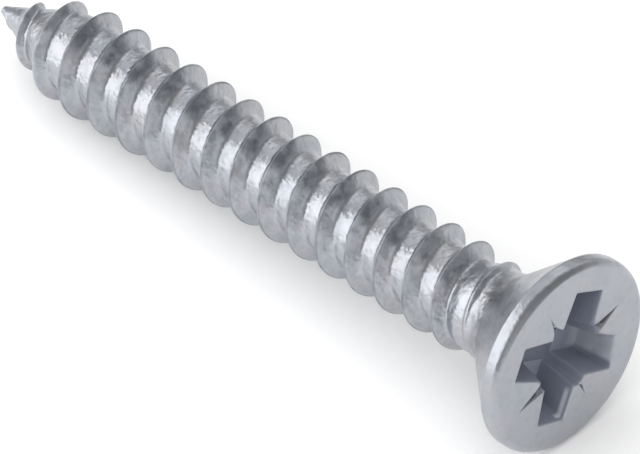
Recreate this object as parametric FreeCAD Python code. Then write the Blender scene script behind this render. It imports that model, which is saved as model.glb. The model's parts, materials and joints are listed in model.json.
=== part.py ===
import FreeCAD, Part
import math
import os

# A countersunk sheet metal screw, made as one piece and lying on its side as it comes to rest.
# Lengths are in millimetres and angles in degrees. The screw is drawn along +X with the end of
# its point at zero and the face of its head at LENGTH, and is laid down at the end.

# Shank and thread
LENGTH = 25.1
THREAD_D = 3.5
ROOT_D = 2.6
NECK_D = 3.0
PITCH = 1.27
THREAD_ANGLE = 60.0
CREST_FLAT = 0.1
THREAD_START_TURN = 44.4
RUN_OUT_LENGTH = 0.9
RUN_OUT_TO_FACE = 3.0
ROOT_END_TO_FACE = 4.2
ROOT_RISE_LENGTH = 0.6

# Point
POINT_ANGLE = 45.5
POINT_END_D = 0.24
POINT_BLEND_RADIUS = 2.0
THREAD_FIRST_RISE = 0.2
THREAD_FULL_FROM_END = 3.6
THREAD_RISE_POWER = 1.1

# Head
HEAD_D = 6.75
HEAD_CONE_ANGLE = 82.0
RIM_LAND = 0.29
RIM_ROUNDING = 0.27
NECK_FILLET_RADIUS = 1.4

# Cross recess, with a square heart whose corners stand between the arms
ARM_REACH = 2.3
ARM_WIDTH = 1.2
ARM_DEPTH = 1.35
ARM_END_DRAFT = 14.0
ARM_SIDE_DRAFT = 4.0
HEART_WIDTH = 2.12
HEART_DEPTH = 1.7
HEART_DRAFT = 12.0
RECESS_POINT_DEPTH = 2.1

# Marking notches between the arms
NOTCH_REACH = 2.4
NOTCH_WIDTH = 0.36
NOTCH_DEPTH = 0.16

# How the screw lies: the turn about its own axis
ROLL = 62.4

# How far the ridge of the thread is bedded in the core, and how finely its curves are drawn
RIDGE_BED = 0.12
CURVE_POINTS_PER_TURN = 12

ARMS = 4
QUARTER = 360.0 / ARMS
SAME_WAY = 1
AXIS = FreeCAD.Vector(1, 0, 0)
CENTRE = FreeCAD.Vector(0, 0, 0)

thread_r = THREAD_D / 2
root_r = ROOT_D / 2
neck_r = NECK_D / 2
head_r = HEAD_D / 2
land_back = LENGTH - RIM_ROUNDING - RIM_LAND
cone_slope = math.tan(math.radians(HEAD_CONE_ANGLE / 2))
point_slope = math.tan(math.radians(POINT_ANGLE / 2))
flank_slope = math.tan(math.radians(THREAD_ANGLE / 2))
point_length = (root_r - POINT_END_D / 2) / point_slope
thread_end = LENGTH - RUN_OUT_TO_FACE
root_end = LENGTH - ROOT_END_TO_FACE


def drafted(size, depth, draft):
    """A wall's distance from the middle at a depth, when it leans inwards by the draft."""
    return size - depth * math.tan(math.radians(draft))


def rounded_outline(corners):
    """Lines through (x, r, rounding) corners, with a tangent arc at each rounded one."""
    edges = []
    start = FreeCAD.Vector(corners[0][0], corners[0][1], 0)
    for here, ahead in zip(corners[1:-1], corners[2:]):
        corner = FreeCAD.Vector(here[0], here[1], 0)
        way_in = (corner - start).normalize()
        way_out = (FreeCAD.Vector(ahead[0], ahead[1], 0) - corner).normalize()
        half_turn = way_in.getAngle(way_out) / 2
        cut = here[2] * math.tan(half_turn)
        first = corner - way_in * cut
        last = corner + way_out * cut
        edges.append(Part.LineSegment(start, first).toShape())
        if here[2]:
            inwards = (way_out - way_in).normalize()
            to_arc = here[2] / math.cos(half_turn) - here[2]
            edges.append(Part.Arc(first, corner + inwards * to_arc, last).toShape())
        start = last
    end = FreeCAD.Vector(corners[-1][0], corners[-1][1], 0)
    edges.append(Part.LineSegment(start, end).toShape())
    return edges


def core():
    """The blank without its thread: point, shank, neck and countersunk head, turned in one."""
    corners = [
        (0, 0, 0),
        (0, POINT_END_D / 2, 0),
        (point_length, root_r, POINT_BLEND_RADIUS),
        (root_end, root_r, 0),
        (root_end + ROOT_RISE_LENGTH, neck_r, 0),
        (land_back - (head_r - neck_r) / cone_slope, neck_r, NECK_FILLET_RADIUS),
        (land_back, head_r, 0),
        (LENGTH, head_r, RIM_ROUNDING),
        (LENGTH, 0, 0),
    ]
    edges = rounded_outline(corners)
    middle = Part.LineSegment(FreeCAD.Vector(LENGTH, 0, 0), CENTRE).toShape()
    face = Part.Face(Part.Wire(edges + [middle]))
    return face.revolve(CENTRE, AXIS, 360)


def core_radius(x):
    """The core's radius under the thread, at a distance from the end of the point."""
    cone = POINT_END_D / 2 + x * point_slope
    rise = (x - root_end) / ROOT_RISE_LENGTH
    shank = root_r + (neck_r - root_r) * min(max(rise, 0), 1)
    return min(cone, shank)


def crest_radius(x):
    """The thread's crest: it climbs out of the point, runs full, and sinks into the neck."""
    climb = (x - THREAD_FIRST_RISE) / (THREAD_FULL_FROM_END - THREAD_FIRST_RISE)
    climb = min(max(climb, 0), 1) ** THREAD_RISE_POWER
    sink = min(max((thread_end - x) / RUN_OUT_LENGTH, 0), 1)
    buried = core_radius(x) - RIDGE_BED / 2
    return buried + (thread_r - buried) * climb * sink


def ridge_corners(x):
    """The ridge's section where its middle is at x: distance along the axis and radius."""
    crest = crest_radius(x)
    foot = CREST_FLAT / 2 + (crest - core_radius(x) + RIDGE_BED) * flank_slope
    return [
        (x - CREST_FLAT / 2, crest),
        (x + CREST_FLAT / 2, crest),
        (x + foot, core_radius(x + foot) - RIDGE_BED),
        (x - foot, core_radius(x - foot) - RIDGE_BED),
    ]


def on_helix(x, along, radius):
    """A point of the ridge, turned to where the right-hand thread is at x."""
    turn = math.radians(THREAD_START_TURN) + 2 * math.pi * (x - THREAD_FIRST_RISE) / PITCH
    return FreeCAD.Vector(along, radius * math.cos(turn), radius * math.sin(turn))


def ridge_section(x):
    """The four corners of the ridge's section in space."""
    return [on_helix(x, along, radius) for along, radius in ridge_corners(x)]


def thread_ridge():
    """The thread as one closed helical ridge of ruled faces, about one turn to each face."""
    run = thread_end - THREAD_FIRST_RISE
    pieces = math.ceil(run / PITCH)
    steps = math.ceil(run / pieces / PITCH * CURVE_POINTS_PER_TURN)
    faces = []
    for piece in range(pieces):
        start = THREAD_FIRST_RISE + run * piece / pieces
        sections = [ridge_section(start + run / pieces * step / steps) for step in range(steps + 1)]
        curves = []
        for points in zip(*sections):
            curve = Part.BSplineCurve()
            curve.interpolate(list(points))
            curves.append(curve.toShape())
        for number, curve in enumerate(curves):
            beside = curves[(number + 1) % len(curves)]
            faces.append(Part.makeRuledSurface(curve, beside, SAME_WAY))
    for x in (THREAD_FIRST_RISE, thread_end):
        section = ridge_section(x)
        faces.append(Part.Face(Part.makePolygon(section + section[:1])))
    shell = Part.makeShell(faces)
    shell.sewShape()
    return Part.makeSolid(shell)


def rectangle(x, half_length, half_width):
    """A closed rectangle across the axis at x."""
    corners = [(1, 1), (-1, 1), (-1, -1), (1, -1), (1, 1)]
    return Part.makePolygon([FreeCAD.Vector(x, a * half_length, b * half_width) for a, b in corners])


def recess_arms():
    """Two opposite arms of the recess, drafted towards the bottom."""
    floor_reach = drafted(ARM_REACH, ARM_DEPTH, ARM_END_DRAFT)
    floor_half_width = drafted(ARM_WIDTH / 2, ARM_DEPTH, ARM_SIDE_DRAFT)
    mouth = rectangle(LENGTH, ARM_REACH, ARM_WIDTH / 2)
    floor = rectangle(LENGTH - ARM_DEPTH, floor_reach, floor_half_width)
    return Part.makeLoft([mouth, floor], True, True)


def recess_heart():
    """The square heart of the recess, with a cone at its bottom."""
    floor_half = drafted(HEART_WIDTH / 2, HEART_DEPTH, HEART_DRAFT)
    mouth = rectangle(LENGTH, HEART_WIDTH / 2, HEART_WIDTH / 2)
    floor = rectangle(LENGTH - HEART_DEPTH, floor_half, floor_half)
    heart = Part.makeLoft([mouth, floor], True, True)
    bottom = Part.makeCone(floor_half, 0, RECESS_POINT_DEPTH - HEART_DEPTH,
                           FreeCAD.Vector(LENGTH - HEART_DEPTH, 0, 0), -AXIS)
    return heart.fuse(bottom)


def notch():
    """One marking notch: a shallow wedge that runs out of the heart's corner to a point.

    It stands as far out of the face as it goes in, and so is twice as wide and long at its top.
    """
    start = HEART_WIDTH / 2
    top = LENGTH + NOTCH_DEPTH
    end = FreeCAD.Vector(top, start + 2 * (NOTCH_REACH - start), 0)
    left = FreeCAD.Vector(top, start, NOTCH_WIDTH)
    right = FreeCAD.Vector(top, start, -NOTCH_WIDTH)
    keel = FreeCAD.Vector(LENGTH - NOTCH_DEPTH, start, 0)
    sides = [(left, right, end), (left, keel, right), (left, end, keel), (right, keel, end)]
    faces = [Part.Face(Part.makePolygon([a, b, c, a])) for a, b, c in sides]
    return Part.makeSolid(Part.makeShell(faces))


def drive_recess():
    """Everything that the recess takes out of the head."""
    arms = recess_arms()
    crossed = arms.copy()
    crossed.rotate(CENTRE, AXIS, QUARTER)
    recess = arms.fuse([crossed, recess_heart()])
    notches = []
    for number in range(ARMS):
        cut = notch()
        cut.rotate(CENTRE, AXIS, QUARTER * (number + 0.5))
        notches.append(cut)
    return recess.fuse(notches)


def resting_tilt():
    """The slope of the axis when the head's rim and the thread's crest both touch the floor."""
    below = math.radians(-90 - ROLL - THREAD_START_TURN)
    x = THREAD_FIRST_RISE + PITCH * (below / (2 * math.pi) % 1)
    slopes = []
    while x < thread_end:
        slopes.append((head_r - crest_radius(x)) / (land_back - x + CREST_FLAT / 2))
        x += PITCH
    return math.degrees(math.atan(min(slopes)))


def laid_down(body):
    """The screw on the floor, over the origin, with its head towards +X."""
    body.rotate(CENTRE, AXIS, ROLL)
    body.rotate(CENTRE, FreeCAD.Vector(0, 1, 0), -resting_tilt())
    box = body.optimalBoundingBox(False)
    body.translate(FreeCAD.Vector(-box.Center.x, -box.Center.y, -box.ZMin))
    return body


def screw():
    """The whole screw as one solid."""
    blank = core().cut(drive_recess())
    threaded = blank.fuse(thread_ridge())
    return laid_down(threaded.Solids[0])


os.makedirs("parts", exist_ok=True)
screw().exportStep("parts/screw.step")
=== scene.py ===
import json
import math

import bpy
import numpy as np
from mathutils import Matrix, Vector
from mathutils.geometry import delaunay_2d_cdt


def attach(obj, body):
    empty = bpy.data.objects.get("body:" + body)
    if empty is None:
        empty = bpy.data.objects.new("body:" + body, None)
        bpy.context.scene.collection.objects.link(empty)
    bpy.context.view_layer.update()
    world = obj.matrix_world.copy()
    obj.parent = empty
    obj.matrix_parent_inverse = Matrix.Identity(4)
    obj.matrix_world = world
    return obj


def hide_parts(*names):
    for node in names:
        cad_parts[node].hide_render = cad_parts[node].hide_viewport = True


# A countersunk sheet metal screw in bright zinc plate, lying on a pale floor.
# The screw is drawn in millimetres along +X, with the end of its point at zero and the face of
# its head at LENGTH. It is then turned and laid where the frame's own screw lies.
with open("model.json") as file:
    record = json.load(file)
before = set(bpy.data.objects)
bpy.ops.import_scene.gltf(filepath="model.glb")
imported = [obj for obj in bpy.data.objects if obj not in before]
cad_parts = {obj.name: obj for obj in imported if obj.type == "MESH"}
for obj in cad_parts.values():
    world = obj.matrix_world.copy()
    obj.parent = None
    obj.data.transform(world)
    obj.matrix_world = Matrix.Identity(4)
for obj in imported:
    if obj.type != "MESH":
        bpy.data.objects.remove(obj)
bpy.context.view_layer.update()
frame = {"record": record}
MM = 0.001

# Shank and thread
LENGTH = 25.1
THREAD_D = 3.5
ROOT_D = 2.6
NECK_D = 3.0
PITCH = 1.27
FLANK_ANGLE = 27.0
CREST_ROUNDING = 0.06
ROOT_BLEND = 0.24
THREAD_START_TURN = 44.4
RUN_OUT_LENGTH = 1.1
RUN_OUT_TO_FACE = 2.75
ROOT_END_TO_FACE = 4.2
ROOT_RISE_LENGTH = 0.6
ROOT_RISE_ROUNDING = 0.8
THREAD_BURIED = 0.15

# Slight waves that rolling leaves along the crest: their height, and the radians to the
# millimetre and the start of each wave
ROLLING_WOBBLE = 0.012
ROLLING_WAVES = ((2.9, 0.0), (7.3, 1.0))

# Point
POINT_ANGLE = 45.5
POINT_END_D = 0.24
POINT_END_ROUNDING = 0.06
POINT_BLEND_RADIUS = 2.0
THREAD_FIRST_RISE = 0.2
THREAD_FULL_FROM_END = 3.6
THREAD_RISE_POWER = 1.1

# Head
HEAD_D = 6.75
HEAD_CONE_ANGLE = 82.0
RIM_LAND = 0.29
RIM_ROUNDING = 0.27
LAND_EDGE_ROUNDING = 0.08
NECK_FILLET_RADIUS = 1.4

# Cross recess, with a square heart
ARM_REACH = 2.3
ARM_HALF_WIDTH = 0.6
ARM_FLARE = 0.1
ARM_DEPTH = 1.35
ARM_END_DRAFT = 14.0
ARM_SIDE_DRAFT = 4.0
HEART_HALF_WIDTH = 1.06
HEART_DEPTH = 1.7
HEART_DRAFT = 12.0
HEART_LEDGE = 0.02
HEART_POINT_HALF_WIDTH = 0.02
RECESS_POINT_DEPTH = 2.1
CORNER_ROUNDING = 0.05
LIP_ROUNDING = 0.07

# The lip is worn round about one corner of the heart
WORN_CORNER = 315.0
WORN_LIP_ROUNDING = 0.17
WORN_LIP_SIZE = 0.6

# The arms' two end corners in each quadrant, and the heart's corner after them, are pushed out or
# in by these lengths: reach and half width, reach and half width, and the heart's half width
CORNER_SHIFTS = (
    ((0.00, 0.05), (0.03, 0.00), 0.13),
    ((0.05, -0.03), (0.06, -0.05), -0.03),
    ((0.03, -0.12), (-0.07, 0.07), -0.05),
    ((-0.03, 0.02), (-0.23, -0.07), -0.10),
)
# Cosine and sine of the turn to each quadrant
QUARTER_TURNS = ((1, 0), (0, 1), (-1, 0), (0, -1))

# Marking notches: which corner of the heart, width and depth there, and how far from the middle
# the notch reaches and starts. It is shallow between the recess and its start.
NOTCHES = (
    (45.0, 0.20, 0.08, 2.35, 1.3),
    (135.0, 0.28, 0.22, 2.42, 1.3),
    (225.0, 0.15, 0.07, 2.05, 1.4),
    (315.0, 0.30, 0.26, 2.40, 1.5),
)
NOTCH_START_FADE = 0.16
NOTCH_LARGEST_SHARE = 1.3
BURR_SHARE = 0.12
BURR_WIDTH = 0.05
RELIEF_FADE = 0.2

# How the screw lies: the turn about its own axis
ROLL = 62.4

# Fineness of the mesh: numbers of steps, and steps and places in millimetres. The first ridge lies
# before the end of the point, so that the rows cover it.
COLUMNS = 160
FIRST_RIDGE = -2
ROWS_FROM_CREST = (0, 0.03, 0.06, 0.1, 0.15, 0.2, 0.25, 0.3, 0.35, 0.41, 0.48, 0.56)
FINE_STEP = 0.03
FACE_STEP = 0.13
WALL_STEP = 0.09
LEAST_ARC_STEPS = 3
LIP_STEPS = 5
CORNER_STEPS = 3
OUTLINE_STEPS = (14, 14, 5, 5, 14)
HEART_STEPS = 16
SHARP_ANGLE = 50.0
TINY = 1e-6

# Points along a notch, and across it as shares of its half width
NOTCH_STEP = 0.05
NOTCH_LEAD = 0.2
NOTCH_LEAST_HALF = 0.01
NOTCH_SHARES = (0, 0.33, 0.66, 1, 1.3, 1.8)

# Camera: its direction, its lens, and where the photograph has the middle of the head's face
CAMERA_AZIMUTH = 44.45
CAMERA_ELEVATION = 45.17
CAMERA_LENS = 1100.0
CAMERA_DISTANCE = 609.8
CAMERA_CLIP = (0.01, 10)
SENSOR = 36.0
PHOTO_WIDTH = 640
PHOTO_HEIGHT = 454
PIXELS_PER_MM = 31.74
FACE_PIXEL = (566.6, 357.1)

# Colours of the zinc plate, and of the shade and highlight painted on it
COOL_ZINC = (0.435, 0.455, 0.495, 1)
WARM_ZINC = (0.455, 0.460, 0.487, 1)
DULL_ZINC = (0.305, 0.325, 0.355, 1)
NECK_ZINC = (0.24, 0.245, 0.26, 1)
# Painted shade on the flanks along the side that lies up
SHADE_STRIP_ZINC = (0.23, 0.245, 0.27, 1)
# Painted shade in the recess, lighter at its bottom
RECESS_SHADE_ZINC = (0.20, 0.215, 0.27, 1)
DEEP_ZINC = (0.30, 0.33, 0.41, 1)
RUBBED_ZINC = (0.50, 0.525, 0.575, 1)
# A painted highlight along one wall of the recess
GLINT_ZINC = (0.62, 0.64, 0.68, 1)
# Painted shade in the notches and the heart's corners
NOTCH_SHADE_ZINC = (0.09, 0.095, 0.115, 1)

# Noise: how much it is stretched along each axis of the drawing, and its detail
NOISE_ROUGHNESS = 0.55
DENTS = ((4.6, 4.6, 4.6), 1.0)
GRAIN = ((11.0, 9.0, 9.0), 1.0)

# Patches: noise as above, where in it a patch starts and is full, and the values outside and in it
CLOUDS = ((0.9, 0.9, 0.9), 2.0, 0.35, 0.65, 0.0, 1.0)
SPECKS = ((4.0, 4.0, 4.0), 3.0, 0.45, 0.75, 0.0, 0.35)
NECK_BLOTCHES = ((1.3, 2.2, 2.2), 2.0, 0.4, 0.6, 0.12, 0.65)
ARM_STREAKS = ((0.8, 0.8, 9.0), 1.0, 0.35, 0.65, 0.6, 0.85)
ROUGH_PATCHES = ((1.7, 1.7, 1.7), 3.0, 0.35, 0.7, 0.30, 0.42)
BARE_PATCHES = ((2.6, 2.0, 2.0), 2.0, 0.38, 0.62, 0.4, 0.88)

# Fades: where each starts and ends, and its values there where they aren't 0 and 1.
# On the thread they go by the share of its height that a place has risen.
CREST = (0.86, 0.97)
FLANK = (0.03, 0.25)
# Along the screw, from the start of the head's cone, from the face and from the thread's end
HEAD_FADE = (0.0, 0.8)
FACE_FADE = (-0.12, -0.02)
NECK_FADE_IN = (-0.7, 0.1)
NECK_FADE_OUT = (0.5, 2.0, 1.0, 0.0)
# By the depth below the face
SUNK = (0.006, 0.05)
DEEP = (0.9, 1.8)
GLINT_TOP = (0.08, 0.16)
GLINT_BOTTOM = (0.22, 0.32, 1.0, 0.0)
# By the place across the face, on y and z of the drawing
GLINT_Y = (-1.1, -1.4)
GLINT_Z = (-0.42, -0.5, 0.0, 0.7)
RUBBED_Z = (-1.3, -1.8)
RUBBED_LOW_Y = (-0.5, -0.3)
RUBBED_HIGH_Y = (ARM_HALF_WIDTH, ARM_HALF_WIDTH + 0.1, 1.0, 0.0)
NOTCH_SHADE_OFF_AXES = (1.0, 1.08)
# By the cosine of the turn away from the side with painted shade
SHADED_SIDE = 36.0
SHADE_STRIP = (0.88, 0.985, 0.0, 0.95)

# How dull, dented, rough and bare these places are
CREST_DULLNESS = 0.7
HEAD_DULLNESS = 0.3
DENT_DEPTH = 0.034
GRAIN_SHARE = 0.12
HEAD_DENTS = 0.5
FACE_DENTS = 0.3
FLANK_DENTS = 1.2
RECESS_ROUGHNESS = 0.35
CREST_ROUGHNESS = 0.3
FLANK_ROUGHNESS = 0.08
RECESS_METAL = 0.12

# Floor
FLOOR_RADIUS = 0.9
FLOOR_SIDES = 96
FLOOR_COLOUR = (0.93, 0.93, 0.93, 1)
FLOOR_ROUGHNESS = 0.9

# Lights: azimuth from the -Y side towards +X, elevation, width and height in degrees, radiance
ROOM_COLOUR = (1, 1, 1, 1)
ROOM_RADIANCE = 0.35
BOX_DISTANCE = 0.5
SOFT_BOXES = (
    ("key", 318, 24, 78, 56, 1.85),
    ("high_left", 240, 52, 40, 36, 0.7),
    ("back", 174, 12, 40, 24, 0.3),
    ("behind_left", 204, 36, 40, 34, 0.6),
    ("front_right", 62, 26, 44, 40, 0.25),
)
# Lights that only matt surfaces see, so that they whiten the floor and show in no reflection
FLOOR_BOXES = (
    ("above", 0, 89, 60, 60, 1.2),
    ("front", 20, 38, 60, 40, 1.05),
    ("right", 115, 34, 50, 40, 0.9),
)

thread_r = THREAD_D / 2
root_r = ROOT_D / 2
neck_r = NECK_D / 2
head_r = HEAD_D / 2
point_slope = math.tan(math.radians(POINT_ANGLE / 2))
cone_slope = math.tan(math.radians(HEAD_CONE_ANGLE / 2))
flank_slope = 1 / math.tan(math.radians(FLANK_ANGLE))
point_length = (root_r - POINT_END_D / 2) / point_slope
thread_end = LENGTH - RUN_OUT_TO_FACE
root_end = LENGTH - ROOT_END_TO_FACE
land_back = LENGTH - RIM_ROUNDING - RIM_LAND
cone_start = land_back - (head_r - neck_r) / cone_slope
heart_corner = HEART_HALF_WIDTH * math.sqrt(2)
column_turns = 2 * math.pi * np.arange(COLUMNS) / COLUMNS
seat = next(m for m in frame["record"]["mounts"] if m["name"] == "drive_recess")


def rounded_outline(corners):
    """Points along lines through (x, r, rounding) corners, with an arc at each rounded one."""
    points = [np.array(corners[0][:2], float)]
    for before, here, after in zip(corners[:-2], corners[1:-1], corners[2:]):
        corner = np.array(here[:2], float)
        way_in = corner - np.array(before[:2], float)
        way_out = np.array(after[:2], float) - corner
        way_in /= np.linalg.norm(way_in)
        way_out /= np.linalg.norm(way_out)
        turn = math.acos(np.clip(way_in @ way_out, -1, 1))
        side = np.sign(way_in[0] * way_out[1] - way_in[1] * way_out[0])
        start = corner - way_in * here[2] * math.tan(turn / 2)
        inwards = side * np.array([-way_in[1], way_in[0]])
        steps = max(LEAST_ARC_STEPS, math.ceil(here[2] * turn / FINE_STEP))
        for swept in turn * np.arange(steps + 1) / steps:
            ahead = way_in * math.sin(swept) + inwards * (1 - math.cos(swept))
            points.append(start + here[2] * ahead)
    points.append(np.array(corners[-1][:2], float))
    return np.array(points)


def blank_outline():
    """The blank without its thread, from the end of the point to the middle of the head's face."""
    return rounded_outline([
        (0, 0, 0),
        (0, POINT_END_D / 2, POINT_END_ROUNDING),
        (point_length, root_r, POINT_BLEND_RADIUS),
        (root_end, root_r, ROOT_RISE_ROUNDING),
        (root_end + ROOT_RISE_LENGTH, neck_r, ROOT_RISE_ROUNDING),
        (cone_start, neck_r, NECK_FILLET_RADIUS),
        (land_back, head_r, LAND_EDGE_ROUNDING),
        (LENGTH, head_r, RIM_ROUNDING),
        (LENGTH, 0, 0),
    ])


BLANK = blank_outline()
SHANK = BLANK[BLANK[:, 0] < land_back]


def core_radius(x):
    """The blank's radius behind the rim of the head."""
    return np.interp(x, SHANK[:, 0], SHANK[:, 1])


def crest_radius(x):
    """The thread's crest: it climbs out of the point, runs full, and sinks into the neck."""
    climb = np.clip((x - THREAD_FIRST_RISE) / (THREAD_FULL_FROM_END - THREAD_FIRST_RISE), 0, 1)
    sink = np.clip((thread_end - x) / RUN_OUT_LENGTH, 0, 1)
    buried = core_radius(x) - THREAD_BURIED
    waves = [np.sin(rate * x + start) for rate, start in ROLLING_WAVES]
    wobble = ROLLING_WOBBLE * sum(waves) / len(waves)
    return buried + (thread_r - buried + wobble) * climb ** THREAD_RISE_POWER * sink


def smooth_max(a, b, blend):
    """The larger of two heights, with a fillet where they meet."""
    share = np.clip(0.5 + 0.5 * (a - b) / blend, 0, 1)
    return b + (a - b) * share + blend * share * (1 - share)


def thread_height(x, turn):
    """The threaded shank's radius at a distance from the point and a turn about the axis."""
    turns = (turn - math.radians(THREAD_START_TURN)) / (2 * math.pi)
    phase = (x - THREAD_FIRST_RISE) / PITCH - turns
    height = core_radius(x)
    for neighbour in (-1, 0, 1):
        off = (phase - np.round(phase) - neighbour) * PITCH
        fall = np.sqrt(off ** 2 + CREST_ROUNDING ** 2) - CREST_ROUNDING
        height = smooth_max(crest_radius(x - off) - flank_slope * fall, height, ROOT_BLEND)
    return height


class Skin:
    """Points and faces of the growing surface.

    Each point also holds how deep it is sunk below the face, and what share of the thread's
    height it has risen.
    """

    def __init__(self):
        self.points = []
        self.faces = []
        self.sunk = []
        self.risen = []

    def add(self, points, sunk=0.0, risen=0.0):
        """Adds an array of points and returns their numbers in the same shape."""
        flat = np.asarray(points, float).reshape(-1, 3)
        first = len(self.points)
        self.points.extend(flat.tolist())
        self.sunk.extend(np.broadcast_to(sunk, len(flat)).tolist())
        self.risen.extend(np.broadcast_to(risen, len(flat)).tolist())
        return first + np.arange(len(flat)).reshape(np.shape(points)[:-1])

    def face(self, numbers):
        """Adds a face, leaving out corners that fall together."""
        kept = [n for n, after in zip(numbers, numbers[1:] + numbers[:1]) if n != after]
        if len(set(kept)) > 2:
            self.faces.append(kept)

    def band(self, ring, following):
        """Joins two closed rings of as many points."""
        a, b = ring.tolist(), following.tolist()
        for k in range(len(a)):
            self.face([a[k - 1], a[k], b[k], b[k - 1]])


def profile_rows():
    """Places across one pitch: close together on the crest and the flanks, wider on the root."""
    return sorted({-place for place in ROWS_FROM_CREST} | set(ROWS_FROM_CREST) | {PITCH / 2})


def on_axis_turns(x, radius, turns):
    """Points at distances along the axis, radii and turns about it."""
    return np.stack(np.broadcast_arrays(x, radius * np.cos(turns), radius * np.sin(turns)), -1)


def helix_places(neck_end):
    """Places along the axis, in rows that follow the helix, from the point's end to the neck."""
    start = THREAD_FIRST_RISE - PITCH * THREAD_START_TURN / 360
    ridges = np.arange(FIRST_RIDGE, math.ceil(LENGTH / PITCH) + 1)
    rows = (start + PITCH * ridges[:, None] + np.array(profile_rows())[None, :]).ravel()
    x = rows[:, None] + PITCH * column_turns[None, :] / (2 * math.pi)
    x = np.where(x < FINE_STEP / 2, 0, np.minimum(x, neck_end))
    return np.where(x > neck_end - FINE_STEP / 2, neck_end, x)


def helix_faces(skin, numbers):
    """Faces between the rows. The last column joins the first one a whole pitch further on."""
    grid = numbers.tolist()
    pitch_rows = len(profile_rows())
    for row in range(len(grid) - pitch_rows - 1):
        for column in range(COLUMNS):
            after = (column + 1) % COLUMNS
            onward = 0 if after else pitch_rows
            near, far = grid[row], grid[row + 1]
            near_on, far_on = grid[row + onward], grid[row + 1 + onward]
            skin.face([near[column], near_on[after], far_on[after], far[column]])


def threaded_part(skin, neck_end):
    """The point and the thread, from the tip up to a ring on the neck."""
    end_r = POINT_END_D / 2 - POINT_END_ROUNDING
    x = helix_places(neck_end)
    radius = np.where(x > 0, thread_height(x, column_turns[None, :]), end_r)
    risen = (radius - core_radius(x)) / (thread_r - root_r)
    numbers = skin.add(on_axis_turns(x, radius, column_turns[None, :]), risen=risen.ravel())
    tip_ring = skin.add(on_axis_turns(0.0, end_r, column_turns))
    neck_ring = skin.add(on_axis_turns(neck_end, core_radius(neck_end), column_turns))
    numbers = np.where(x == 0, tip_ring[None, :], numbers)
    numbers = np.where(x == neck_end, neck_ring[None, :], numbers)
    helix_faces(skin, numbers)
    tip = int(skin.add([[0.0, 0.0, 0.0]])[0])
    ring = tip_ring.tolist()
    for column in range(COLUMNS):
        skin.face([ring[column - 1], tip, ring[column]])
    return neck_ring


def head_side(skin, neck_ring, neck_end):
    """Rings over the cone, the land and the rim. Returns the face's edge and its radius."""
    outline = BLANK[(BLANK[:, 0] > neck_end + FINE_STEP) & (BLANK[:, 1] > 0)]
    ring = neck_ring
    before = np.array([neck_end, core_radius(neck_end)])
    for place in outline:
        length = np.linalg.norm(place - before)
        steps = max(1, math.ceil(length / WALL_STEP))
        for share in np.arange(1, steps + 1) / steps:
            x, radius = before + (place - before) * share
            following = skin.add(on_axis_turns(x, radius, column_turns))
            skin.band(ring, following)
            ring = following
        before = place
    return ring, before[1]


def drafted(size, depth, draft):
    """A wall's distance from the middle at a depth, when it leans inwards by the draft."""
    return size - depth * math.tan(math.radians(draft))


def rounded_corner(before, corner, after):
    """Points of the arc that rounds a square corner in the plane of the face."""
    way_in = (corner - before) / np.linalg.norm(corner - before)
    way_out = (after - corner) / np.linalg.norm(after - corner)
    swept = np.linspace(0, math.pi / 2, CORNER_STEPS + 1)[:, None]
    start = corner - way_in * CORNER_ROUNDING
    return start + CORNER_ROUNDING * (way_in * np.sin(swept) + way_out * (1 - np.cos(swept)))


def recess_corners(depth, offset):
    """The corners (y, z) of the recess's outline at a depth, widened all round by an offset."""
    reach = drafted(ARM_REACH, depth, ARM_END_DRAFT) + offset
    arm = drafted(ARM_HALF_WIDTH, depth, ARM_SIDE_DRAFT) + offset
    heart = drafted(HEART_HALF_WIDTH, depth, HEART_DRAFT) + offset
    uneven = 1 - depth / ARM_DEPTH
    wide = arm + ARM_FLARE * uneven
    corners = []
    for (first, second, outwards), (cosine, sine) in zip(CORNER_SHIFTS, QUARTER_TURNS):
        tip = heart + outwards * uneven
        quadrant = [(reach + first[0] * uneven, -arm - first[1] * uneven),
                    (reach + second[0] * uneven, arm + second[1] * uneven),
                    (heart, wide), (tip, tip), (wide, heart)]
        corners += [np.array([y * cosine - z * sine, y * sine + z * cosine]) for y, z in quadrant]
    return corners


def cross_section(depth, offset):
    """The recess's outline at a depth, as a loop of points (y, z) with rounded corners."""
    corners = recess_corners(depth, offset)
    points = []
    for k, corner in enumerate(corners):
        before, after = corners[k - 1], corners[(k + 1) % len(corners)]
        arc = rounded_corner(before, corner, after)
        beyond = after + (corner - after) / np.linalg.norm(corner - after) * CORNER_ROUNDING
        points.extend(arc)
        steps = OUTLINE_STEPS[k % len(OUTLINE_STEPS)]
        for share in np.arange(1, steps) / steps:
            points.append(arc[-1] + (beyond - arc[-1]) * share)
    return np.array(points)


def worn_share(points):
    """How far the lip is worn round, about the worn corner of the heart."""
    turn = math.radians(WORN_CORNER)
    corner = HEART_HALF_WIDTH * np.array([math.cos(turn), math.sin(turn)])
    away = np.linalg.norm(points - corner, axis=-1) / WORN_LIP_SIZE
    return np.exp(-away ** 2)


def notch_ways(turn):
    """The directions along and across a notch."""
    angle = math.radians(turn)
    return (np.array([math.cos(angle), math.sin(angle)]),
            np.array([-math.sin(angle), math.cos(angle)]))


def face_relief(points):
    """How far the head's face stands out at (y, z): notches with raised edges."""
    relief = np.zeros(len(points))
    for turn, width, depth, reach, start in NOTCHES:
        along_way, across_way = notch_ways(turn)
        along = points @ along_way
        across = np.abs(points @ across_way)
        share = np.clip((reach - along) / (reach - heart_corner), 0, NOTCH_LARGEST_SHARE)
        share = share * (along > 0)
        half = width / 2 * share
        inside = np.clip(1 - across / np.maximum(half, TINY), 0, 1)
        begun = np.clip(1 + (along - start) / NOTCH_START_FADE, 0, 1)
        relief -= depth * share * inside * begun
        edge = (across - half - BURR_WIDTH) / BURR_WIDTH
        relief += BURR_SHARE * depth * np.exp(-edge ** 2) * np.clip(share, 0, 1)
    return relief


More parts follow.
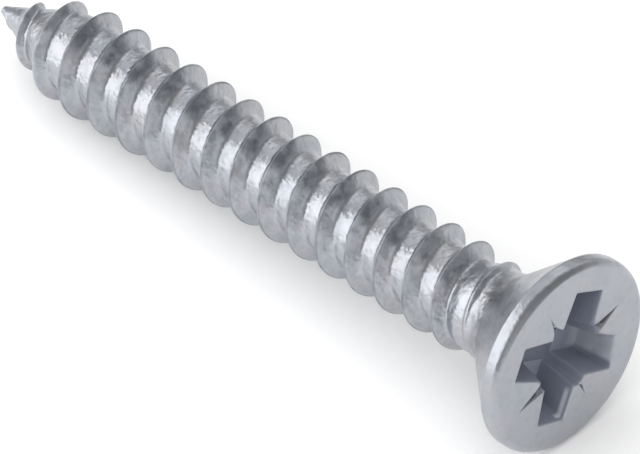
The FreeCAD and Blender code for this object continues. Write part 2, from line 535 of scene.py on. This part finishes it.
def set_into_face(points, depth):
    """Points (y, z) at a depth below the face, with the face's relief where they are near it."""
    relief = face_relief(points) * np.exp(-(depth / RELIEF_FADE) ** 2)
    return np.column_stack([LENGTH - depth + relief, points])


def at_depth(points, depth):
    """Points (y, z) on a flat floor at a depth below the face."""
    return np.column_stack([np.full(len(points), LENGTH - depth), points])


def notch_points():
    """Fine points on and beside each notch."""
    points = []
    for turn, width, _, reach, _ in NOTCHES:
        along_way, across_way = notch_ways(turn)
        for along in np.arange(heart_corner - NOTCH_LEAD, reach + NOTCH_STEP, NOTCH_STEP):
            half = max(width / 2 * (reach - along) / (reach - heart_corner), NOTCH_LEAST_HALF)
            for across in {-s * half for s in NOTCH_SHARES} | {s * half for s in NOTCH_SHARES}:
                points.append(along * along_way + across * across_way)
    return points


def within(points, loop):
    """Which points lie inside a closed loop."""
    away = loop[None, :, :] - points[:, None, :]
    angles = np.arctan2(away[..., 1], away[..., 0])
    swept = np.roll(angles, -1, axis=1) - angles
    swept = (swept + math.pi) % (2 * math.pi) - math.pi
    return np.abs(swept.sum(1)) > math.pi


def filled_between(skin, loops, numbers, inner, keep, place, sunk):
    """Triangles between closed loops through inner points, where keep says so."""
    flat = np.vstack(loops + [np.array(inner).reshape(-1, 2)])
    edges = []
    first = 0
    for loop in loops:
        count = len(loop)
        edges += [(first + k, first + (k + 1) % count) for k in range(count)]
        first += count
    result = delaunay_2d_cdt([Vector(p) for p in flat.tolist()], edges, [], 0, TINY)
    out, triangles, origin = np.array([list(p) for p in result[0]]), result[2], result[3]
    known = np.concatenate(numbers).tolist()
    new = skin.add(place(out), sunk(out)).tolist()
    chosen = []
    for k, sources in enumerate(origin):
        held = [s for s in sources if s < first]
        chosen.append(known[held[0]] if held else new[k])
    middles = out[np.array(triangles)].mean(1)
    for triangle, kept in zip(triangles, keep(middles)):
        if kept:
            skin.face([chosen[k] for k in triangle])


def hex_points(radius, step):
    """A grid of points in rows, inside a radius."""
    points = []
    for row, z in enumerate(np.arange(-radius, radius, step * math.sqrt(3) / 2), 1):
        for y in np.arange(-radius + (row % 2) * step / 2, radius, step):
            points.append((y, z))
    points = np.array(points)
    return points[np.linalg.norm(points, axis=1) < radius - step / 2]


def lip_loop(share):
    """One loop of the rounded lip, from the face, 0, to the wall, 1, and its depth at each point."""
    angle = share * math.pi / 2
    inwards, downwards = 1 - math.sin(angle), 1 - math.cos(angle)
    sharp, worn = LIP_ROUNDING, WORN_LIP_ROUNDING
    fine = cross_section(sharp * downwards, sharp * inwards)
    wide = cross_section(worn * downwards, worn * inwards)
    weight = worn_share(cross_section(0, 0))
    points = fine + (wide - fine) * weight[:, None]
    return points, (sharp + (worn - sharp) * weight) * downwards


def recess(skin):
    """The lip, walls and floors of the cross recess. Returns where its mouth meets the face."""
    loops = [lip_loop(share) for share in np.linspace(0, 1, LIP_STEPS + 1)]
    mouth_points = loops[0][0]
    lip_end, lip_depth = loops[-1]
    arm_floor = cross_section(ARM_DEPTH, 0)
    steps = math.ceil(ARM_DEPTH / WALL_STEP)
    for share in np.arange(1, steps + 1) / steps:
        points = lip_end + (arm_floor - lip_end) * share
        loops.append((points, lip_depth + (ARM_DEPTH - lip_depth) * share))
    rings = [skin.add(set_into_face(points, depth), depth) for points, depth in loops]
    for ring, following in zip(rings, rings[1:]):
        skin.band(ring, following)
    heart_bottom(skin, arm_floor, rings[-1])
    return rings[0], mouth_points


def square_loop(half):
    """A square of points with as many on each side."""
    side = np.linspace(-half, half, HEART_STEPS + 1)[:-1]
    edge = np.full_like(side, half)
    return np.vstack([
        np.column_stack([edge, side]), np.column_stack([-side, edge]),
        np.column_stack([-edge, -side]), np.column_stack([side, -edge]),
    ])


def heart_bottom(skin, arm_floor, arm_numbers):
    """The arms' floors, and the heart's walls and pointed bottom below them."""
    loop = square_loop(drafted(HEART_HALF_WIDTH, ARM_DEPTH, HEART_DRAFT) - HEART_LEDGE)
    ring = skin.add(at_depth(loop, ARM_DEPTH), ARM_DEPTH)
    filled_between(
        skin, [arm_floor, loop], [arm_numbers, ring], [],
        lambda p: within(p, arm_floor) & ~within(p, loop),
        lambda p: at_depth(p, ARM_DEPTH),
        lambda p: np.full(len(p), ARM_DEPTH),
    )
    low = drafted(HEART_HALF_WIDTH, HEART_DEPTH, HEART_DRAFT) - HEART_LEDGE
    for depth, half in ((HEART_DEPTH, low), (RECESS_POINT_DEPTH, HEART_POINT_HALF_WIDTH)):
        following = skin.add(at_depth(square_loop(half), depth), depth)
        skin.band(ring, following)
        ring = following
    skin.faces.append(ring.tolist())


def head_face(skin, rim_ring, rim_r, mouth, mouth_points):
    """The flat face round the recess, with its notches."""
    rim = rim_r * np.column_stack([np.cos(column_turns), np.sin(column_turns)])
    inner = np.vstack([hex_points(rim_r, FACE_STEP), notch_points()])
    nearest = np.linalg.norm(inner[:, None, :] - mouth_points[None, :, :], axis=-1).min(1)
    keep = ~within(inner, mouth_points) & (nearest > FINE_STEP)
    filled_between(
        skin, [rim, mouth_points], [rim_ring, mouth], inner[keep],
        lambda p: ~within(p, mouth_points),
        lambda p: set_into_face(p, 0),
        lambda p: np.maximum(-face_relief(p), 0),
    )


def laid_down(points):
    """Points turned and moved from the drawing to where the frame's screw lies, in metres."""
    axis = np.array(seat["axis"])
    side = np.array([0.0, 1.0, 0.0])
    over = np.cross(axis, side)
    roll = math.radians(ROLL)
    y = points[:, 1] * math.cos(roll) - points[:, 2] * math.sin(roll)
    z = points[:, 1] * math.sin(roll) + points[:, 2] * math.cos(roll)
    along = points[:, 0] - LENGTH
    placed = np.outer(along, axis) + np.outer(y, side) + np.outer(z, over)
    return np.array(seat["pos_m"]) + placed * MM


def screw_skin():
    """The whole surface of the screw, as it is drawn. The thread's rows end a little past it."""
    skin = Skin()
    neck_end = thread_end + PITCH / 4
    neck_ring = threaded_part(skin, neck_end)
    rim_ring, rim_r = head_side(skin, neck_ring, neck_end)
    mouth, mouth_points = recess(skin)
    head_face(skin, rim_ring, rim_r, mouth, mouth_points)
    return skin


def screw_body():
    """The whole screw as one closed mesh, laid down, whose points know their places in the drawing."""
    skin = screw_skin()
    used = sorted({n for face in skin.faces for n in face})
    place = {n: k for k, n in enumerate(used)}
    points = laid_down(np.array(skin.points))[used]
    mesh = bpy.data.meshes.new("screw_body")
    mesh.from_pydata(points.tolist(), [], [[place[n] for n in f] for f in skin.faces])
    drawn = mesh.attributes.new("drawn", "FLOAT_VECTOR", "POINT")
    drawn.data.foreach_set("vector", np.array(skin.points)[used].ravel())
    for name, values in (("sunk", skin.sunk), ("risen", skin.risen)):
        mark = mesh.attributes.new(name, "FLOAT", "POINT")
        mark.data.foreach_set("value", np.array(values)[used])
    mesh.shade_smooth()
    mesh.set_sharp_from_angle(angle=math.radians(SHARP_ANGLE))
    body = bpy.data.objects.new("screw_body", mesh)
    bpy.context.scene.collection.objects.link(body)
    return body


class Finish:
    """One material's nodes, joined by short calls that take and return sockets."""

    def __init__(self, name):
        self.material = bpy.data.materials.new(name)
        self.material.use_nodes = True
        self.tree = self.material.node_tree
        self.shader = self.tree.nodes["Principled BSDF"]

    def give(self, socket, value):
        """Links a socket to another one, or sets it to a value."""
        if isinstance(value, bpy.types.NodeSocket):
            self.tree.links.new(value, socket)
        else:
            socket.default_value = value

    def node(self, kind, values, **settings):
        """A node with its settings and the values of its inputs."""
        made = self.tree.nodes.new("ShaderNode" + kind)
        for name, value in settings.items():
            setattr(made, name, value)
        for name, value in values.items():
            self.give(made.inputs[name], value)
        return made

    def set(self, name, value):
        """Sets or links one of the shader's own sockets."""
        self.give(self.shader.inputs[name], value)

    def attribute(self, name):
        """A number that the mesh holds at each point."""
        return self.node("Attribute", {}, attribute_name=name).outputs["Fac"]

    def drawn(self, stretch):
        """Places on the screw in millimetres of the drawing, stretched along each axis."""
        place = self.node("Attribute", {}, attribute_name="drawn").outputs["Vector"]
        scaled = self.node("VectorMath", {0: place, 1: stretch}, operation="MULTIPLY")
        return scaled.outputs["Vector"]

    def place(self, axis, origin=0.0):
        """The distance from an origin along one axis of the drawing."""
        axes = self.node("SeparateXYZ", {"Vector": self.drawn((1, 1, 1))}).outputs
        return self.plus(axes[axis], -origin)

    def noise(self, stretch, detail):
        """Soft noise from 0 to 1, with about one blob to each unit of the stretched places."""
        values = {"Vector": self.drawn(stretch), "Scale": 1.0, "Detail": detail,
                  "Roughness": NOISE_ROUGHNESS}
        return self.node("TexNoise", values).outputs["Fac"]

    def between(self, value, start, end, low=0.0, high=1.0):
        """A smooth step from low to high as the value goes from start to end."""
        values = {"Value": value, "From Min": start, "From Max": end, "To Min": low, "To Max": high}
        return self.node("MapRange", values, interpolation_type="SMOOTHSTEP").outputs["Result"]

    def patches(self, stretch, detail, start, end, low, high):
        """Soft patches of noise."""
        return self.between(self.noise(stretch, detail), start, end, low, high)

    def faded(self, share, none, full):
        """A value that goes from none to full as a share goes from 0 to 1."""
        return self.between(share, 0.0, 1.0, none, full)

    def joined(self, operation, value, *others):
        """Values joined one after another by the same operation."""
        for other in others:
            value = self.node("Math", {0: value, 1: other}, operation=operation).outputs["Value"]
        return value

    def times(self, *values):
        """The product of values."""
        return self.joined("MULTIPLY", *values)

    def plus(self, *values):
        """The sum of values."""
        return self.joined("ADD", *values)

    def unsigned(self, value):
        """The size of a value without its sign."""
        return self.node("Math", {0: value}, operation="ABSOLUTE").outputs["Value"]

    def layered(self, colour, *layers):
        """A colour with others laid over it, each as (share, colour)."""
        for share, over in layers:
            made = self.node("Mix", {"Factor": share}, data_type="RGBA")
            under_socket, over_socket = [s for s in made.inputs if s.type == "RGBA"]
            self.give(under_socket, colour)
            self.give(over_socket, over)
            colour = next(s for s in made.outputs if s.type == "RGBA")
        return colour


def painted_shade_strip(finish):
    """How much a place belongs to the strip of painted shade along the side of the screw that lies up."""
    turn = math.radians(SHADED_SIDE)
    side = (0, math.cos(turn), math.sin(turn))
    around = finish.node("VectorMath", {0: finish.drawn((0, 1, 1))}, operation="NORMALIZE")
    ways = {0: around.outputs["Vector"], 1: side}
    facing = finish.node("VectorMath", ways, operation="DOT_PRODUCT")
    return finish.between(facing.outputs["Value"], *SHADE_STRIP)


def plate_colour(finish, head, crest, flank):
    """Clouded zinc with specks, duller on the crest, the head and the neck, with painted shade on the
    flanks of one side.
    """
    past_thread = finish.between(finish.place("X", thread_end), *NECK_FADE_IN)
    before_rim = finish.between(finish.place("X", cone_start), *NECK_FADE_OUT)
    return finish.layered(
        COOL_ZINC,
        (finish.patches(*CLOUDS), WARM_ZINC),
        (finish.patches(*SPECKS), DULL_ZINC),
        (finish.times(crest, CREST_DULLNESS), DULL_ZINC),
        # painted shade on the flanks of the side that lies up
        (finish.times(painted_shade_strip(finish), flank), SHADE_STRIP_ZINC),
        (finish.times(head, HEAD_DULLNESS), DULL_ZINC),
        (finish.times(past_thread, before_rim, finish.patches(*NECK_BLOTCHES)), NECK_ZINC),
    )


def recess_colour(finish):
    """Painted shade in the recess, lighter at the bottom, rubbed in one arm, a painted highlight along
    one wall, and more painted shade in the notches.
    """
    depth, y, z = finish.attribute("sunk"), finish.place("Y"), finish.place("Z")
    in_arm = finish.times(finish.between(y, *RUBBED_LOW_Y), finish.between(y, *RUBBED_HIGH_Y))
    rubbed = finish.times(finish.between(z, *RUBBED_Z), in_arm, finish.patches(*ARM_STREAKS))
    # A painted highlight along one wall, in a band below the lip
    on_wall = finish.times(finish.between(y, *GLINT_Y), finish.between(z, *GLINT_Z))
    in_band = finish.times(finish.between(depth, *GLINT_TOP), finish.between(depth, *GLINT_BOTTOM))
    off_axes = finish.joined("MINIMUM", finish.unsigned(y), finish.unsigned(z))
    return finish.layered(
        RECESS_SHADE_ZINC,
        (finish.between(depth, *DEEP), DEEP_ZINC),
        (rubbed, RUBBED_ZINC),
        (finish.times(on_wall, in_band), GLINT_ZINC),
        (finish.between(off_axes, *NOTCH_SHADE_OFF_AXES), NOTCH_SHADE_ZINC),
    )


def dented(finish, head, face, flank):
    """The normals of soft dents from rolling, with a fine grain, more even on the head."""
    relief = finish.plus(finish.noise(*DENTS), finish.times(finish.noise(*GRAIN), GRAIN_SHARE))
    height = finish.times(relief, finish.faded(head, 1.0, HEAD_DENTS),
                          finish.faded(face, 1.0, FACE_DENTS), finish.faded(flank, 1.0, FLANK_DENTS))
    values = {"Height": height, "Strength": 1.0, "Distance": DENT_DEPTH * MM}
    return finish.node("Bump", values).outputs["Normal"]


def zinc_plate():
    """Bright zinc plate over rolled steel: mottled on the thread, dull on its crest, with painted shade
    in the recess.
    """
    finish = Finish("zinc_plate")
    head = finish.between(finish.place("X", cone_start), *HEAD_FADE)
    face = finish.between(finish.place("X", LENGTH), *FACE_FADE)
    sunk = finish.between(finish.attribute("sunk"), *SUNK)
    crest = finish.between(finish.attribute("risen"), *CREST)
    flank = finish.between(finish.attribute("risen"), *FLANK)
    colour = plate_colour(finish, head, crest, flank)
    # The recess gets painted shade over the plate's colour
    finish.set("Base Color", finish.layered(colour, (sunk, recess_colour(finish))))
    finish.set("Normal", dented(finish, head, face, flank))
    finish.set("Roughness", finish.plus(
        finish.patches(*ROUGH_PATCHES), finish.times(sunk, RECESS_ROUGHNESS),
        finish.times(crest, CREST_ROUGHNESS), finish.times(flank, FLANK_ROUGHNESS)))
    bare = finish.faded(flank, 1.0, finish.patches(*BARE_PATCHES))
    finish.set("Metallic", finish.times(finish.faded(sunk, 1.0, RECESS_METAL), bare))
    return finish.material


def floor():
    """A wide pale floor."""
    bpy.ops.mesh.primitive_circle_add(vertices=FLOOR_SIDES, radius=FLOOR_RADIUS, fill_type="NGON")
    ground = bpy.context.object
    ground.name = "floor"
    finish = Finish("pale_floor")
    finish.set("Base Color", FLOOR_COLOUR)
    finish.set("Roughness", FLOOR_ROUGHNESS)
    ground.data.materials.append(finish.material)


def way_towards(azimuth, elevation):
    """The direction at an azimuth from the -Y side towards +X, and an elevation."""
    turn, rise = math.radians(azimuth), math.radians(elevation)
    return Vector((math.sin(turn) * math.cos(rise), -math.cos(turn) * math.cos(rise), math.sin(rise)))


def camera():
    """A long lens far away, placed so that the face's middle falls where the photograph has it."""
    back = way_towards(CAMERA_AZIMUTH, CAMERA_ELEVATION)
    right = (-back).cross(Vector((0, 0, 1))).normalized()
    up = right.cross(-back)
    across = (FACE_PIXEL[0] - PHOTO_WIDTH / 2) / PIXELS_PER_MM * MM
    down = (FACE_PIXEL[1] - PHOTO_HEIGHT / 2) / PIXELS_PER_MM * MM
    target = Vector(seat["pos_m"]) - right * across + up * down
    data = bpy.data.cameras.new("camera")
    data.lens, data.sensor_width = CAMERA_LENS, SENSOR
    data.clip_start, data.clip_end = CAMERA_CLIP
    eye = bpy.data.objects.new("camera", data)
    eye.location = target + back * CAMERA_DISTANCE * MM
    eye.rotation_euler = (-back).to_track_quat("-Z", "Y").to_euler()
    bpy.context.scene.collection.objects.link(eye)
    bpy.context.scene.camera = eye


def soft_box(name, azimuth, elevation, width, height, radiance):
    """A rectangular light that faces the screw, with its direction and its size as angles."""
    way = way_towards(azimuth, elevation)
    data = bpy.data.lights.new(name, "AREA")
    data.shape = "RECTANGLE"
    data.size = 2 * BOX_DISTANCE * math.tan(math.radians(width / 2))
    data.size_y = 2 * BOX_DISTANCE * math.tan(math.radians(height / 2))
    data.energy = radiance * math.pi * data.size * data.size_y
    box = bpy.data.objects.new(name, data)
    box.location = way * BOX_DISTANCE
    box.rotation_euler = way.to_track_quat("Z", "Y").to_euler()
    bpy.context.scene.collection.objects.link(box)
    return box


def light():
    """Plain soft studio light: a pale room, and soft boxes round the screw."""
    world = bpy.data.worlds.new("world")
    bpy.context.scene.world = world
    world.use_nodes = True
    room = world.node_tree.nodes["Background"].inputs
    room["Color"].default_value = ROOM_COLOUR
    room["Strength"].default_value = ROOM_RADIANCE
    for place in SOFT_BOXES:
        soft_box(*place)
    for place in FLOOR_BOXES:
        soft_box(*place).visible_glossy = False


screw = screw_body()
screw.data.materials.append(zinc_plate())
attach(screw, "root")
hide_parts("screw")
floor()
camera()
light()
bpy.context.scene.view_settings.view_transform = "Standard"
